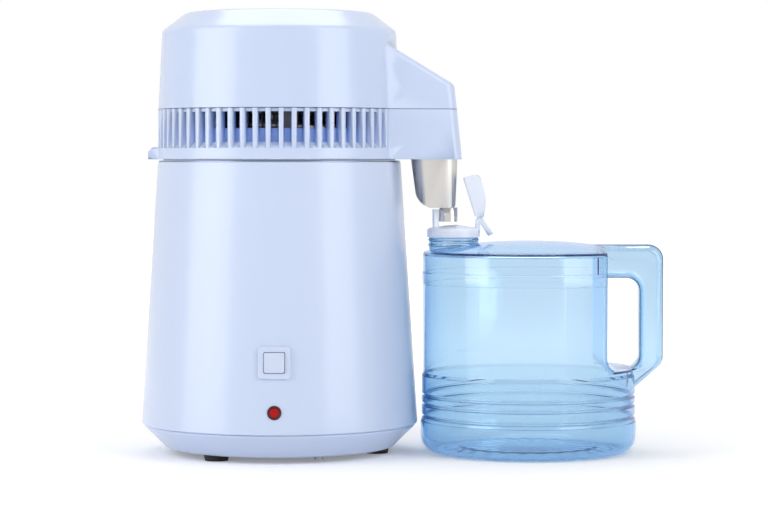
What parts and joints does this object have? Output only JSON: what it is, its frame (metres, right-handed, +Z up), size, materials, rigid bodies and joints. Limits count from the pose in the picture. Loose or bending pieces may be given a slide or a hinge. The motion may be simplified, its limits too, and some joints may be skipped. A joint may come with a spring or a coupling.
{
  "type": "water distiller",
  "caption": "Countertop water distiller: a boiler drum under a finned air-cooled head whose spout drips through a filter cup into a clear handled jug with a hinged cap.",
  "frame": {"origin": "on the resting surface, under the middle of the whole object, machine and jug together", "axes": "+X to the right, from the machine towards the jug, +Y to the back, away from the switch, +Z up"},
  "size_m": [0.4318, 0.2288, 0.3677],
  "materials": {
    "casing_paint": "smooth satin enamel on sheet steel, pale lavender blue",
    "casing_plastic": "moulded, semi-gloss, pale lavender blue",
    "jug_plastic": "clear blue, blow moulded",
    "cap_plastic": "milky translucent, moulded",
    "cup_steel": "drawn, polished stainless steel",
    "pot_steel": "drawn stainless steel, satin",
    "element_steel": "heat-tinted stainless tube",
    "strap_steel": "zinc-plated sheet",
    "screw_steel": "bright zinc-plated",
    "motor_steel": "dark lacquer",
    "plate_aluminium": "mill finish",
    "fan_plastic": "moulded, fine satin",
    "brass": "bright",
    "black_plastic": "moulded, fine texture",
    "lamp_red": "clear red lens",
    "rubber": "moulded, matt",
    "silicone": "moulded silicone",
    "filter_fabric": "non-woven sachet filled with carbon granules"
  },
  "bodies": {
    "base": {"rubber_feet": "rubber", "foot_screws": "screw_steel", "base_pan": "casing_plastic", "base_screws": "screw_steel", "outer_body": "casing_paint", "boiler_pot": "pot_steel", "heater_plate": "plate_aluminium", "heating_element": "element_steel", "heater_straps": "strap_steel", "heater_studs": "screw_steel", "heater_nuts": "screw_steel", "heat_shield": "plate_aluminium", "shield_spacers": "plate_aluminium", "thermal_cutout": "black_plastic", "cutout_bracket": "strap_steel", "switch_bezel": "casing_plastic", "switch_body": "black_plastic", "lamp_ring": "black_plastic", "lamp_lens": "lamp_red", "mains_inlet": "black_plastic", "inlet_pins": "brass", "fan_supply_socket": "black_plastic", "fan_supply_pins": "brass"},
    "switch_key": {"switch_button": "casing_plastic", "switch_spring": "strap_steel"},
    "head": {"louvre_ring": "casing_plastic", "dome_cover": "casing_plastic", "head_screws": "screw_steel", "head_socket": "black_plastic", "head_socket_pins": "brass", "steam_lid": "pot_steel", "lid_gasket": "silicone", "lid_screws": "screw_steel", "condenser_coil": "pot_steel", "condenser_fins": "plate_aluminium", "coil_posts": "strap_steel", "riser_collar": "pot_steel", "fan_plate": "strap_steel", "fan_motor": "motor_steel", "motor_screws": "screw_steel", "filter_cup": "cup_steel", "cup_gasket": "silicone", "carbon_filter": "filter_fabric", "outlet_nozzle": "cup_steel"},
    "fan": {"fan_shaft": "screw_steel", "fan_blades": "fan_plastic"},
    "jug": {"jug_body": "jug_plastic", "jug_shoulder": "jug_plastic", "jug_handle": "jug_plastic", "cap_liner": "silicone", "jug_cap": "cap_plastic", "hinge_pin": "cap_plastic"},
    "flap": {"cap_flap": "cap_plastic"}
  },
  "joints": [
    {"name": "head_lift", "type": "slide", "parent": "base", "child": "head", "axis": [0, 0, 1], "range_m": [0, 0.15]},
    {"name": "fan_spin", "type": "hinge", "parent": "head", "child": "fan", "pos_m": [-0.10145, 0, 0.36], "axis": [0, 0, 1], "continuous": true},
    {"name": "jug_pull", "type": "slide", "parent": "base", "child": "jug", "axis": [0, -1, 0], "range_m": [0, 0.25]},
    {"name": "flap_hinge", "type": "hinge", "parent": "jug", "child": "flap", "pos_m": [0.06355, 0, 0.1912], "axis": [0, 1, 0], "range_deg": [-8, 10]},
    {"name": "switch_press", "type": "slide", "parent": "base", "child": "switch_key", "axis": [0, 0.9978, -0.0656], "range_m": [0, 0.002], "stiffness_N_per_m": 400}
  ]
}
